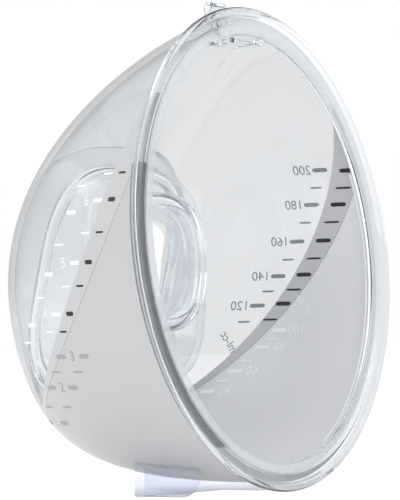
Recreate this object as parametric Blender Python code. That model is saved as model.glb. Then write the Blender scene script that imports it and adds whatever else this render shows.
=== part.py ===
"""Milk container of a wearable breast pump: a clear one-handed cup that stands on its foot.

Frame: metres, +Z up, origin on the ground under the middle of the bounding box. The open
mouth faces +Y, towards the wearer. The domed front, with the bay that takes the pump unit,
faces -Y. Left and right are mirror images in X.
"""

import math

import bmesh
import bpy
from mathutils import Matrix, Vector
from mathutils.bvhtree import BVHTree

# ---------------------------------------------------------------- driving dimensions
RIM_WIDTH = 0.1290            # outside of the rim, across X
RIM_HEIGHT = 0.1460           # outside of the rim, along Z
RIM_LEAN = math.radians(5.0)  # the mouth looks slightly up
RIM_GROUND_GAP = 0.0010       # the mouth plane's lowest edge stops just short of the ground
CUP_DEPTH = 0.0773            # mouth plane to the front of the dome
NOSE_BELOW_MIDDLE = 0.0442    # the foremost point, below the rim's middle
NOSE_CUT_BACK = 0.0004        # the bay's mouth takes the very front off the dome
WALL = 0.0020                 # wall of the moulded shells
FIT_GAP = 0.0003              # between pieces that touch

# Shell outline: superellipse exponents of the dome's profile, per side
PROFILE_TOP = 1.63            # nearly straight from the rim down to the bay
PROFILE_SIDE = 3.12
PROFILE_BOTTOM = 3.19
WAIST = 0.086                 # how much the flanks pull in, as a share of the half width
SHELL_INSET = 0.0026          # shell wall inside the rim's outer edge

# Rim collar and its seal, as distances in from the outer edge and back from the face
COLLAR_DEPTH = 0.0032
COLLAR_EDGE = 0.0010          # thickness at the outer edge, from where it flares into the shell
COLLAR_BEVEL = 0.0004
SEAL_WIDTH = 0.0027
SEAL_PROUD = 0.0004
COLLAR_LAND = 0.0052          # width of the face outside the seal
LEDGE_THICKNESS = 0.0012      # shelf that the seal sits on

# Seam band between front panel and rear shell
BAND_TOP_AHEAD = 0.0028       # its top end, ahead of the rim's middle
BAND_TOP_DROP = 0.0303        # its top end, below the rim's top
BAND_NOSE_GAP = 0.0204        # its bottom end, behind the front of the dome
BAND_BOTTOM_RISE = 0.0305     # its bottom end, above the rim's lowest point
BAND_SAG = 0.0072
BAND_WIDTH_TOP = 0.0102
BAND_WIDTH_BOTTOM = 0.0020

# Pump bay in the front
BAY_CENTRE_Z = -0.0080        # from the rim's middle
BAY_HALF_WIDTH = 0.0335       # outside of the bay's side walls at the lip
BAY_HALF_HEIGHT = 0.0350
BAY_SQUARENESS = 3.3          # superellipse exponent of the bay's outline
MOUTH_FLARE = 0.0050          # the funnel widens by this from the lip to the dome
LIP_RECESS_TOP = 0.0022       # lip plane behind the dome's surface, at the bay's top
LIP_RECESS_BOTTOM = 0.0047    # and at its bottom
FUNNEL_WALL = (0.0010, 0.0018)  # back skin of the funnel: outset and depth from its front
LIP_WIDTH = 0.0032
LIP_DEPTH = 0.0026
LIP_PROUD = 0.0006            # the lip stands ahead of the lip plane
BAY_DRAFT = 0.0012            # walls close in towards the floor
BAY_CORNER = 0.0050           # round between wall and floor
BAY_SHORTEST_WALL = 0.0005    # straight wall between lip and round, at the bay's top

# Port in the bay floor
PORT_ABOVE_BAY = 0.0050       # above the bay's centre
PORT_RADIUS = 0.0215          # outside of the collar
PORT_WALL = 0.0040
PORT_LENGTH = 0.0064
PORT_SQUARENESS = 2.5
PORT_HOLE_RADIUS = 0.0128     # hole in the bay floor
PORT_SEAL_LENGTH = 0.0030
PORT_SEAL_STEP_BACK = 0.0004  # the seal's bore is this much wider than the hole

# Foot
FOOT_WIDTH = 0.0440
FOOT_NOSE_GAP = 0.0410        # its front wall, behind the front of the dome
FOOT_LENGTH = 0.0240
FOOT_WALL = 0.0022
FOOT_CORNER = 0.0070          # round at the rear end of each side

# Latch tab on top and its catch inside
TAB_WIDTH = 0.0070
TAB_THICKNESS = 0.0020
TAB_MIDDLE_Y = -0.0185        # from the mouth plane
TAB_RISE = 0.0023             # above the rim's top
CATCH_WIDTH = 0.0180
CATCH_LENGTH = 0.0095
CATCH_THICKNESS = 0.0016
CATCH_FRONT_Y = -0.0175       # from the mouth plane
CATCH_CLEARANCE = 0.0012      # between the catch and the collar over it
CATCH_SLOT = (0.0100, 0.0050)  # opening for the flange's tongue, X by Y

MOUTH_AHEAD = 0.0030          # how far cutters and blanks run ahead of the dome

# Mesh resolution
AROUND = 72
RINGS = 14
BAY_AROUND = 48
PORT_AROUND = 40

RIM_OVERHANG = RIM_HEIGHT / 2 * math.tan(RIM_LEAN)
RIM_MIDDLE_Y = (CUP_DEPTH - NOSE_CUT_BACK - RIM_OVERHANG) / 2
RIM_MIDDLE_Z = RIM_HEIGHT / 2 + RIM_GROUND_GAP
CENTRE = Vector((0, RIM_MIDDLE_Y, RIM_MIDDLE_Z))
COLLAR_INSIDE = COLLAR_LAND + SEAL_WIDTH + FIT_GAP
BAND_TOP = (-BAND_TOP_AHEAD, RIM_HEIGHT / 2 - BAND_TOP_DROP)
BAND_BOTTOM = (BAND_NOSE_GAP - CUP_DEPTH, BAND_BOTTOM_RISE - RIM_HEIGHT / 2)
MOUTH_HALF_WIDTH = BAY_HALF_WIDTH + MOUTH_FLARE
MOUTH_HALF_HEIGHT = BAY_HALF_HEIGHT + MOUTH_FLARE
PORT_CENTRE_Z = BAY_CENTRE_Z + PORT_ABOVE_BAY


# ---------------------------------------------------------------- shared helpers
def clear_scene():
    for item in list(bpy.data.objects):
        bpy.data.objects.remove(item, do_unlink=True)


def material(name, colour, roughness, alpha=1.0):
    """Principled material in the piece's own colour."""
    made = bpy.data.materials.new(name)
    made.use_nodes = True
    shader = made.node_tree.nodes["Principled BSDF"]
    shader.inputs["Base Color"].default_value = (*colour, 1.0)
    shader.inputs["Roughness"].default_value = roughness
    shader.inputs["Metallic"].default_value = 0.0
    shader.inputs["Alpha"].default_value = alpha
    return made


def clear_plastic(name, tint=(0.86, 0.89, 0.93), alpha=0.35):
    return material(name, tint, 0.08, alpha)


def silicone(name):
    return material(name, (0.80, 0.83, 0.86), 0.35, 0.6)


def new_object(name, mesh_builder, finish=None):
    """Object holding the bmesh that mesh_builder fills, at the origin."""
    mesh = bpy.data.meshes.new(name)
    bm = bmesh.new()
    mesh_builder(bm)
    bm.to_mesh(mesh)
    bm.free()
    made = bpy.data.objects.new(name, mesh)
    bpy.context.scene.collection.objects.link(made)
    if finish:
        mesh.materials.append(finish)
    return made


def smooth(item, angle=35):
    item.data.shade_smooth()
    item.data.set_sharp_from_angle(angle=math.radians(angle))


def helper(item):
    """Cutters stay out of the model."""
    item.hide_render = True
    item.display_type = "WIRE"
    return item


def cut(item, cutter, operation="DIFFERENCE"):
    step = item.modifiers.new(operation.title() + " " + cutter.name, "BOOLEAN")
    step.operation = operation
    step.solver = "EXACT"
    step.object = cutter


def superellipse(half_width, half_height, exponent, angle):
    """Point at an angle on a superellipse, as (x, z)."""
    c, s = math.cos(angle), math.sin(angle)
    x = half_width * math.copysign(abs(c) ** (2 / exponent), c)
    z = half_height * math.copysign(abs(s) ** (2 / exponent), s)
    return x, z


def wrap_grid(bm, around, across, place, close_across):
    """Skin a tube of around x across quads: place(u, v) gives each corner.

    u runs once around in [0, 1). v counts the cross-section's points, and the
    last one joins the first when close_across is set.
    """
    rows = across + 1 if close_across else across
    bmesh.ops.create_grid(bm, x_segments=around, y_segments=rows - 1, size=0.5)
    for vert in bm.verts:
        u = (vert.co.x + 0.5) % 1.0
        if u > 1 - 0.25 / around:
            u = 0.0
        v = round((vert.co.y + 0.5) * (rows - 1)) % across if close_across else (
            round((vert.co.y + 0.5) * (rows - 1)))
        vert.co = place(u, v)
    bmesh.ops.remove_doubles(bm, verts=bm.verts, dist=1e-6)
    bmesh.ops.recalc_face_normals(bm, faces=bm.faces)


def ring(name, section, outline, around, finish=None):
    """Closed ring. section is a list of points, outline(u, point) places one of them."""

    def build(bm):
        wrap_grid(bm, around, len(section), lambda u, v: outline(u, section[v]), True)

    made = new_object(name, build, finish)
    smooth(made)
    return made


def prism(name, outline, low_x, high_x):
    """Solid with a YZ outline, from low_x to high_x."""

    def build(bm):
        face = bm.faces.new([bm.verts.new((low_x, y, z)) for y, z in outline])
        grown = bmesh.ops.extrude_face_region(bm, geom=[face])
        side = [v for v in grown["geom"] if isinstance(v, bmesh.types.BMVert)]
        bmesh.ops.translate(bm, vec=(high_x - low_x, 0, 0), verts=side)
        bmesh.ops.recalc_face_normals(bm, faces=bm.faces)

    return new_object(name, build)


def box(name, low, high):
    def build(bm):
        size = Vector(high) - Vector(low)
        middle = (Vector(high) + Vector(low)) / 2
        matrix = Matrix.Translation(middle) @ Matrix.Diagonal((*size, 1))
        bmesh.ops.create_cube(bm, size=1, matrix=matrix)

    return new_object(name, build)


# ---------------------------------------------------------------- dome
def dome_point(angle, step, outset=0.0):
    """Outer surface of the dome. step runs from 0 at the mouth plane to 1 at the nose."""
    half_width = RIM_WIDTH / 2 - SHELL_INSET + outset
    half_height = RIM_HEIGHT / 2 - SHELL_INSET + outset
    x = half_width * math.cos(angle)
    z = half_height * math.sin(angle)
    upness = math.sin(angle)
    share = upness * upness
    exponent = PROFILE_SIDE * (1 - share) + (PROFILE_TOP if upness > 0 else PROFILE_BOTTOM) * share
    turn = step * math.pi / 2
    narrow = max(math.cos(turn), 0.0) ** (2 / exponent)
    reach = math.sin(turn) ** (2 / exponent)
    waist = WAIST * 4 * reach * (1 - reach)
    return CENTRE + Vector((
        x * (narrow - waist),
        -math.tan(RIM_LEAN) * z * narrow - (CUP_DEPTH + outset) * reach,
        -NOSE_BELOW_MIDDLE + (z + NOSE_BELOW_MIDDLE) * narrow,
    ))


def dome_surface(bm, outset=0.0):
    def place(u, v):
        return dome_point(u * 2 * math.pi, v / RINGS, outset)

    wrap_grid(bm, AROUND, RINGS + 1, place, False)
    nose = min(bm.verts, key=lambda vert: vert.co.y)
    if nose.normal.y > 0:
        bmesh.ops.reverse_faces(bm, faces=bm.faces)


def filled_dome(name, outset=0.0):
    """The dome as a solid body, closed across the mouth."""

    def build(bm):
        dome_surface(bm, outset)
        edge = [e for e in bm.edges if e.is_boundary]
        bmesh.ops.holes_fill(bm, edges=edge, sides=0)
        bmesh.ops.recalc_face_normals(bm, faces=bm.faces)

    return new_object(name, build)


def dome_shell(name, finish):
    """Dome with its wall, open at the mouth."""
    made = new_object(name, dome_surface, finish)
    smooth(made)
    wall = made.modifiers.new("Wall", "SOLIDIFY")
    wall.thickness = WALL
    wall.offset = -1
    wall.use_even_offset = True
    wall.use_quality_normals = True
    return made


def lean_point(x, inset_z, depth):
    """Point in the leaning mouth frame: x across, inset_z along the plane, depth to the rear."""
    return CENTRE + Vector((x, 0, 0)) + Matrix.Rotation(RIM_LEAN, 3, "X") @ Vector((0, depth, inset_z))


def collar_line(height, depth):
    """(y, z) of the mouth plane moved forward by depth, at a height from the rim's middle."""
    y = -math.tan(RIM_LEAN) * height - depth / math.cos(RIM_LEAN)
    return RIM_MIDDLE_Y + y, RIM_MIDDLE_Z + height


def band_edge(side, gap):
    """Edge of the seam band as (y, z) points, top to bottom. side -1 is its front edge."""
    top, bottom = Vector(BAND_TOP), Vector(BAND_BOTTOM)
    chord = bottom - top
    normal = Vector((-chord.y, chord.x)).normalized()
    points = []
    steps = 14
    for i in range(steps + 1):
        u = -0.55 + 2.0 * i / steps
        middle = top + chord * u + normal * BAND_SAG * 4 * u * (1 - u)
        width = BAND_WIDTH_TOP + (BAND_WIDTH_BOTTOM - BAND_WIDTH_TOP) * u
        width = max(width, BAND_WIDTH_BOTTOM)
        point = middle + normal * side * (width / 2 + gap)
        points.append((RIM_MIDDLE_Y + point.x, RIM_MIDDLE_Z + point.y))
    return points


def clip_to_collar(points):
    """Keep the part of an edge in front of the collar, starting on the collar's front plane."""
    kept = []
    last = None
    for y, z in points:
        line_y = collar_line(z - RIM_MIDDLE_Z, COLLAR_DEPTH + FIT_GAP)[0]
        inside = y < line_y
        if inside and not kept and last:
            t = (last[2] - last[0]) / ((last[2] - last[0]) - (line_y - y))
            start_z = last[1] + t * (z - last[1])
            kept.append(collar_line(start_z - RIM_MIDDLE_Z, COLLAR_DEPTH + FIT_GAP))
        if inside:
            kept.append((y, z))
        last = (y, z, line_y)
    return kept


def shell_regions():
    """YZ outlines of the three shell pieces."""
    reach = RIM_HEIGHT
    front = clip_to_collar(band_edge(-1, FIT_GAP / 2))
    rear = clip_to_collar(band_edge(1, FIT_GAP / 2))
    band_front = clip_to_collar(band_edge(-1, -FIT_GAP / 2))
    band_rear = clip_to_collar(band_edge(1, -FIT_GAP / 2))
    top = collar_line(reach, COLLAR_DEPTH + FIT_GAP)
    bottom = collar_line(-reach, COLLAR_DEPTH + FIT_GAP)
    panel = [top] + front + [(front[-1][0], -reach), (-reach * 1.5, -reach), (-reach * 1.5, top[1])]
    body = rear + [(rear[-1][0], -reach), (bottom[0], bottom[1])]
    band = band_front + band_rear[::-1]
    return panel, band, body


def dome_tree():
    """The dome's outer surface, for finding points on it."""
    bm = bmesh.new()
    dome_surface(bm)
    tree = BVHTree.FromBMesh(bm)
    bm.free()
    return tree


DOME = dome_tree()


# ---------------------------------------------------------------- pump bay outlines
def bay_point(u, half_width, half_height, y):
    x, z = superellipse(half_width, half_height, BAY_SQUARENESS, u * 2 * math.pi)
    return CENTRE + Vector((x, y, BAY_CENTRE_Z + z))


def dome_front(height):
    """Y of the dome's front on its middle plane, from the mouth plane."""
    start = CENTRE + Vector((0, -2 * CUP_DEPTH, height))
    return DOME.ray_cast(start, Vector((0, 1, 0)))[0].y - RIM_MIDDLE_Y


LIP_TOP_Y = dome_front(BAY_CENTRE_Z + BAY_HALF_HEIGHT) + LIP_RECESS_TOP
LIP_BOTTOM_Y = dome_front(BAY_CENTRE_Z - BAY_HALF_HEIGHT) + LIP_RECESS_BOTTOM
BAY_FLOOR_Y = LIP_TOP_Y + LIP_DEPTH + FIT_GAP + BAY_CORNER + BAY_SHORTEST_WALL


def lip_y(z):
    """Y of the lip plane at a height above the bay's centre."""
    share = (z + BAY_HALF_HEIGHT) / (2 * BAY_HALF_HEIGHT)
    return LIP_BOTTOM_Y + (LIP_TOP_Y - LIP_BOTTOM_Y) * share


def lip_point(u, outset, behind):
    """Point on the bay's outline, outset from its wall and behind the lip plane."""
    x, z = superellipse(BAY_HALF_WIDTH + outset, BAY_HALF_HEIGHT + outset, BAY_SQUARENESS, u * 2 * math.pi)
    return CENTRE + Vector((x, lip_y(z) + behind, BAY_CENTRE_Z + z))


def mouth_point(u, outset, ahead):
    """Point on the bay mouth's outline, ahead of the dome's surface."""
    half_width, half_height = MOUTH_HALF_WIDTH + outset, MOUTH_HALF_HEIGHT + outset
    x, z = superellipse(half_width, half_height, BAY_SQUARENESS, u * 2 * math.pi)
    start = CENTRE + Vector((x, -2 * CUP_DEPTH, BAY_CENTRE_Z + z))
    hit = DOME.ray_cast(start, Vector((0, 1, 0)))[0]
    return Vector((start.x, hit.y - ahead, start.z))


def port_point(u, radius, y):
    x, z = superellipse(radius, radius, PORT_SQUARENESS, u * 2 * math.pi)
    return CENTRE + Vector((x, y, PORT_CENTRE_Z + z))


# ---------------------------------------------------------------- pieces
def build_shells():
    """Front panel, seam band and rear shell, cut from one dome."""
    outset, depth = FUNNEL_WALL

    def plug(bm):
        rows = [
            lambda u: lip_point(u, outset + FIT_GAP, depth + FIT_GAP),
            lambda u: mouth_point(u, outset + FIT_GAP, -depth - FIT_GAP),
            lambda u: mouth_point(u, FIT_GAP, MOUTH_AHEAD),
            lambda u: mouth_point(u, FIT_GAP, CUP_DEPTH),
        ]
        wrap_grid(bm, BAY_AROUND, len(rows), lambda u, v: rows[v](u), False)
        edge = [e for e in bm.edges if e.is_boundary]
        bmesh.ops.holes_fill(bm, edges=edge, sides=0)
        bmesh.ops.recalc_face_normals(bm, faces=bm.faces)

    mouth_plug = helper(new_object("cut_mouth", plug))
    for name, outline in zip(("front_panel", "seam_band", "rear_shell"), shell_regions()):
        region = helper(prism("region_" + name, outline, -RIM_WIDTH, RIM_WIDTH))
        shell = dome_shell(name, clear_plastic(name + "_plastic"))
        cut(shell, region, "INTERSECT")
        if name == "front_panel":
            cut(shell, mouth_plug)


def build_rim():
    """Collar around the mouth, with the seal in its inner step."""
    bevel, land, ledge = COLLAR_BEVEL, COLLAR_LAND, LEDGE_THICKNESS
    depth = COLLAR_DEPTH
    inner = COLLAR_INSIDE
    collar_section = [
        (bevel, 0), (land, 0), (land, -(depth - ledge)), (inner, -(depth - ledge)),
        (inner, -depth), (SHELL_INSET, -depth), (0, -COLLAR_EDGE), (0, -bevel),
    ]
    seal_in = land + FIT_GAP
    seal_out = seal_in + SEAL_WIDTH
    floor = -(depth - ledge - FIT_GAP)
    round_off = SEAL_WIDTH / 4
    seal_section = [
        (seal_in, SEAL_PROUD - round_off), (seal_in + round_off, SEAL_PROUD),
        (seal_out - round_off, SEAL_PROUD), (seal_out, SEAL_PROUD - round_off),
        (seal_out, floor), (seal_in, floor),
    ]

    def outline(u, point):
        inset, depth_at = point
        half_height = RIM_HEIGHT / 2 / math.cos(RIM_LEAN) - inset
        x, z = superellipse(RIM_WIDTH / 2 - inset, half_height, 2, u * 2 * math.pi)
        return lean_point(x, z, depth_at)

    ring("rim_collar", collar_section, outline, AROUND, clear_plastic("rim_collar_plastic"))
    ring("rim_seal", seal_section, outline, AROUND, silicone("rim_seal_silicone"))


def build_bay():
    """Funnel, lip and tray of the pump bay."""
    gap = FIT_GAP
    outset, depth = FUNNEL_WALL
    corners = [
        lambda u: lip_point(u, 0, 0),
        lambda u: mouth_point(u, 0, MOUTH_AHEAD),
        lambda u: mouth_point(u, outset, -depth),
        lambda u: lip_point(u, outset, depth),
    ]
    funnel = ring("bay_funnel", corners, lambda u, p: p(u), BAY_AROUND, clear_plastic("bay_funnel_plastic"))
    outside = helper(filled_dome("dome_volume"))
    cut(funnel, outside, "INTERSECT")

    lip_out, lip_in = -gap, -gap - LIP_WIDTH
    lip_round = LIP_WIDTH / 4
    lip_section = [
        (lip_in, lip_round - LIP_PROUD), (lip_in + lip_round, -LIP_PROUD),
        (lip_out - lip_round, -LIP_PROUD), (lip_out, lip_round - LIP_PROUD),
        (lip_out, LIP_DEPTH), (lip_in, LIP_DEPTH),
    ]
    ring("bay_lip", lip_section, lambda u, p: lip_point(u, *p), BAY_AROUND, clear_plastic("bay_lip_plastic"))

    floor_back = BAY_FLOOR_Y
    floor_front = BAY_FLOOR_Y - WALL
    hole = PORT_HOLE_RADIUS
    shrink = BAY_DRAFT
    corner = BAY_CORNER
    arc = [math.pi / 2 * i / 3 for i in range(4)]
    tray_section = [("wall", 0.0)]
    tray_section += [("outer", a) for a in arc]
    tray_section += [("hole", floor_back), ("hole", floor_front)]
    tray_section += [("inner", a) for a in reversed(arc)]
    tray_section += [("wall", WALL)]

    def tray_point(u, place):
        kind, value = place
        if kind == "wall":
            return lip_point(u, -value, LIP_DEPTH + gap)
        if kind == "hole":
            return port_point(u, hole, value)
        outer = kind == "outer"
        radius = corner if outer else corner - WALL
        base = shrink if outer else shrink + WALL
        inset = base + radius * (1 - math.cos(value))
        y = (floor_back if outer else floor_front) - radius * (1 - math.sin(value))
        return bay_point(u, BAY_HALF_WIDTH - inset, BAY_HALF_HEIGHT - inset, y)

    ring("pump_bay", tray_section, tray_point, BAY_AROUND, clear_plastic("pump_bay_plastic"))


def build_port():
    """Collar on the wearer's side of the bay floor, and the seal seated in it."""
    start = BAY_FLOOR_Y + FIT_GAP
    end = BAY_FLOOR_Y + PORT_LENGTH
    outer, inner = PORT_RADIUS, PORT_RADIUS - PORT_WALL
    edge = PORT_WALL / 4
    collar = [
        (inner, start), (outer - edge, start), (outer - edge, end - 3 * edge), (outer, end - 2 * edge),
        (outer, end - edge), (outer - edge, end), (inner + edge, end), (inner, end - edge),
    ]
    clear = clear_plastic("port_collar_plastic")
    ring("port_collar", collar, lambda u, p: port_point(u, *p), PORT_AROUND, clear)

    rim = inner - FIT_GAP
    bore = PORT_HOLE_RADIUS + PORT_SEAL_STEP_BACK
    step = (rim - bore) / 2
    top = start + PORT_SEAL_LENGTH
    seal = [
        (bore, start), (rim, start), (rim, top), (rim - step, top),
        (rim - step, top - PORT_SEAL_LENGTH / 3), (bore, top - PORT_SEAL_LENGTH / 3),
    ]
    ring("port_seal", seal, lambda u, p: port_point(u, *p), PORT_AROUND, silicone("port_seal_silicone"))


def build_foot():
    """Three-sided skirt under the dome, open to the rear."""
    front = RIM_MIDDLE_Y - CUP_DEPTH + FOOT_NOSE_GAP
    rear = front + FOOT_LENGTH
    half = FOOT_WIDTH / 2
    top = RIM_MIDDLE_Z - NOSE_BELOW_MIDDLE
    corner = FOOT_CORNER
    outline = [(front, 0), (rear - corner, 0)]
    outline += [
        (rear - corner + corner * math.sin(a), corner * (1 - math.cos(a)))
        for a in (math.pi / 2 * i / 5 for i in range(1, 6))
    ]
    outline += [(rear, top), (front, top)]
    foot = prism("base_foot", outline, -half, half)
    foot.data.materials.append(clear_plastic("base_foot_plastic"))
    smooth(foot)
    inside = helper(box(
        "cut_foot_inside",
        (-half + FOOT_WALL, front + FOOT_WALL, -FOOT_LENGTH),
        (half - FOOT_WALL, rear + FOOT_LENGTH, top + FOOT_LENGTH),
    ))
    dome = helper(filled_dome("cut_foot_dome", FIT_GAP))
    cut(foot, inside)
    cut(foot, dome)


def build_latch():
    """Springy tab on top of the shell and the slotted catch under it."""
    middle = RIM_MIDDLE_Y + TAB_MIDDLE_Y
    above = Vector((0, middle + TAB_THICKNESS / 2, 2 * RIM_HEIGHT))
    ground = DOME.ray_cast(above, Vector((0, 0, -1)))[0].z + FIT_GAP
    top = RIM_HEIGHT + RIM_GROUND_GAP + TAB_RISE
    half = TAB_THICKNESS / 2
    head = TAB_THICKNESS * 0.6
    outline = [
        (-half, 0), (half, 0), (half, top - ground - 2 * head), (half + head, top - ground - head),
        (half + head, top - ground - head / 2), (half, top - ground), (-half, top - ground),
        (-half - head / 2, top - ground - head),
    ]

    def build(bm):
        face = bm.faces.new([bm.verts.new((-TAB_WIDTH / 2, y, z)) for y, z in outline])
        grown = bmesh.ops.extrude_face_region(bm, geom=[face])
        side = [v for v in grown["geom"] if isinstance(v, bmesh.types.BMVert)]
        bmesh.ops.translate(bm, vec=(TAB_WIDTH, 0, 0), verts=side)
        bmesh.ops.recalc_face_normals(bm, faces=bm.faces)

    tab = new_object("latch_tab", build, clear_plastic("latch_tab_plastic"))
    tab.location = (0, middle, ground)

    wall = CATCH_THICKNESS
    collar_edge = lean_point(0, RIM_HEIGHT / 2 / math.cos(RIM_LEAN) - COLLAR_INSIDE, -COLLAR_DEPTH)
    low = collar_edge.z - CATCH_CLEARANCE - wall
    front = RIM_MIDDLE_Y + CATCH_FRONT_Y
    rear = front + wall + CATCH_LENGTH
    outline = [
        (front, low), (rear, low), (rear, low + wall), (front + wall, low + wall),
        (front + wall, top), (front, top),
    ]
    catch = prism("latch_catch", outline, -CATCH_WIDTH / 2, CATCH_WIDTH / 2)
    catch.data.materials.append(clear_plastic("latch_catch_plastic"))
    inside = helper(filled_dome("cut_catch_dome", -WALL - 2 * FIT_GAP))
    slot_width, slot_length = CATCH_SLOT
    slot_front = front + wall + (CATCH_LENGTH - slot_length) / 2
    slot = helper(box(
        "cut_catch_slot",
        (-slot_width / 2, slot_front, low - wall),
        (slot_width / 2, slot_front + slot_length, low + 2 * wall),
    ))
    cut(catch, inside, "INTERSECT")
    cut(catch, slot)


def main():
    clear_scene()
    build_shells()
    build_rim()
    build_bay()
    build_port()
    build_foot()
    build_latch()


main()
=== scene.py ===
import math

import bmesh
import bpy
from bpy.props import FloatProperty, FloatVectorProperty, PointerProperty
from mathutils import Matrix, Vector
from mathutils.bvhtree import BVHTree


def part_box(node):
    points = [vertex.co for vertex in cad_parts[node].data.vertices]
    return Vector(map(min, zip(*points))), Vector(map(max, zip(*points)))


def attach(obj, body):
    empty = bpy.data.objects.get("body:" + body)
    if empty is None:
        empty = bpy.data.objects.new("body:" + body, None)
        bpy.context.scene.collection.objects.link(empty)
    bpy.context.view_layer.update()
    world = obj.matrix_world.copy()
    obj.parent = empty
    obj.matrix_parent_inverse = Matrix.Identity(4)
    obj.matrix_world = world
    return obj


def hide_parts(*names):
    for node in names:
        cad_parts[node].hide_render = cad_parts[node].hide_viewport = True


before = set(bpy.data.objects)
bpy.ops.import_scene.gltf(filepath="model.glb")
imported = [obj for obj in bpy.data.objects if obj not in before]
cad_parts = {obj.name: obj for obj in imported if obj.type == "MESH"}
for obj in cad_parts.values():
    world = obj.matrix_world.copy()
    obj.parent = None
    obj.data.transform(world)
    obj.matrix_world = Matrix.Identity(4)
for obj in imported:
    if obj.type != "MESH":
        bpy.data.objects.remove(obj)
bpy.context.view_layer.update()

bl_info = {
    "name": "Milk Container Looks",
    "version": (1, 0, 0),
    "blender": (4, 5, 0),
    "location": "3D Viewport > Sidebar > Container",
    "description": "Clear plastic, gaskets and level scales of a wearable pump's milk container",
    "category": "Object",
}

ROOT = "container"

# ---------------------------------------------------------------- design sizes, in metres
RIM_LOW, RIM_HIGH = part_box("rim_collar")
RIM_WIDTH = RIM_HIGH.x - RIM_LOW.x
RIM_HEIGHT = 0.1460
RIM_LEAN = math.radians(5.0)
RIM_GROUND_GAP = 0.0010
CUP_DEPTH = 0.0773
NOSE_BELOW_MIDDLE = 0.0442
NOSE_CUT_BACK = 0.0004
PROFILE_TOP = 1.63
PROFILE_SIDE = 3.12
PROFILE_BOTTOM = 3.19
WAIST = 0.086
SHELL_INSET = 0.0026
CENTRE = Vector((
    0,
    (CUP_DEPTH - NOSE_CUT_BACK - RIM_HEIGHT / 2 * math.tan(RIM_LEAN)) / 2,
    RIM_HEIGHT / 2 + RIM_GROUND_GAP,
))

COLLAR_DEPTH = 0.0032
COLLAR_EDGE = 0.0010
COLLAR_LAND = 0.0052
SEAL_WIDTH = 0.0027
BEAD_WIDTH = 0.0019           # raised bead along the collar's outer edge
BEAD_STEP = 0.0003
SEAL_PROUD = 0.0004
LEDGE_THICKNESS = 0.0012
COLLAR_CHAMFER = 0.0005
COLLAR_ROUND = 0.00025
SEAL_ROUND = 0.0005
FLANGE = 0.0008               # inward flange of the smoky pieces, behind the collar
FLANGE_INSET = 0.0004         # its outer edge, in from the shell's
FLANGE_FROM = -0.0590         # its lower and upper ends, from the rim's middle
FLANGE_TO = 0.0240

BAND_TOP = Vector((-0.0028, 0.0427))
BAND_BOTTOM = Vector((-0.0569, -0.0425))
BAND_SAG = 0.0072
BAND_WIDTH_TOP = 0.0102
BAND_WIDTH_BOTTOM = 0.0020
BAND_RUN = (-0.55, 1.45)      # where its line starts and stops, as shares of its length
BAND_STEPS = 40

BAY_CENTRE_Z = -0.0080
BAY_HALF_WIDTH = 0.0335
BAY_HALF_HEIGHT = 0.0350
BAY_SQUARENESS = 3.3
MOUTH_FLARE = 0.0050
LIP_RECESS = (0.0047, 0.0022)
LIP_WIDTH = 0.0032
LIP_DEPTH = 0.0026
LIP_PROUD = 0.0006
LIP_ROUND = 0.0008
MOUTH_AHEAD = 0.003           # how far cutters and blanks run ahead of the dome
FUNNEL_WALL = (0.0010, 0.0018)
BAY_DRAFT = 0.0012
BAY_CORNER = 0.0050
BAY_SHORTEST_WALL = 0.0005
FIT_GAP = 0.0003

PORT_CENTRE_Z = -0.0030
PORT_RADIUS = 0.0215
PORT_WALL = 0.0040
PORT_SQUARENESS = 2.5
PORT_HOLE_RADIUS = 0.0128
PORT_STEP = 0.001             # the collar's root is narrower than its rim by this
PORT_STEP_FROM = 0.003        # the step's start and end, behind the collar's rim
PORT_STEP_TO = 0.002
PORT_ROUND = 0.0009
PORT_SEAL_BORE_GAP = 0.0004
PORT_SEAL_STEP = 0.001
PORT_SEAL_ROUND = 0.0003

FOOT_CORNER = 0.0070
FOOT_WALL = 0.0022
FOOT_REACH = 0.02             # how far its blank runs up into the dome
FOOT_STEPS = 12
LATCH_ROUND = 0.0002

AROUND = 240
RINGS = 46
RIM_AROUND = 480
BAY_AROUND = 120
PORT_AROUND = 96
MERGE_DISTANCE = 1e-6
SHARP_EDGE = math.radians(30)

RESIN_IOR = 1.54
SILICONE_IOR = 1.41

# ---------------------------------------------------------------- view, in metres and degrees
CAMERA_AZIMUTH = 125.823
CAMERA_ELEVATION = -1.745
CAMERA_ROLL = -1.231
CAMERA_DISTANCE = 0.9327
CAMERA_AIM_LEFT = 1.2778      # turns the lens axis off the container's middle
CAMERA_AIM_UP = 0.0411
CAMERA_LENS = 223.6           # in millimetres, on a sensor 36 wide

# ---------------------------------------------------------------- settings
def srgb(hex_code):
    """Linear colour of an sRGB hex value such as 'c9ccd1'."""
    levels = [int(hex_code[i:i + 2], 16) / 255 for i in (0, 2, 4)]
    return tuple(v / 12.92 if v <= 0.04045 else ((v + 0.055) / 1.055) ** 2.4 for v in levels)


def length_property(name, description, default):
    return FloatProperty(
        name=name, description=description, default=default, unit="LENGTH", subtype="DISTANCE"
    )


def colour_property(name, description, hex_code):
    return FloatVectorProperty(
        name=name, description=description, default=srgb(hex_code), subtype="COLOR", min=0, max=1
    )


class ContainerSizes(bpy.types.PropertyGroup):
    wall: length_property("Wall", "Wall of the moulded shells", 0.0020)
    seam_gap: length_property("Seam gap", "Line between the welded shells", 0.00012)
    edge_round: length_property("Edge round", "Round on the moulded edges", 0.0004)
    tick_length: length_property("Tick length", "Length of a level mark", 0.0050)
    tick_weight: length_property("Tick weight", "Height of a main level mark", 0.0013)
    number_height: length_property("Number height", "Height of the level numbers", 0.0030)
    ink: length_property("Ink", "Thickness of the printed marks", 0.00004)


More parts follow.
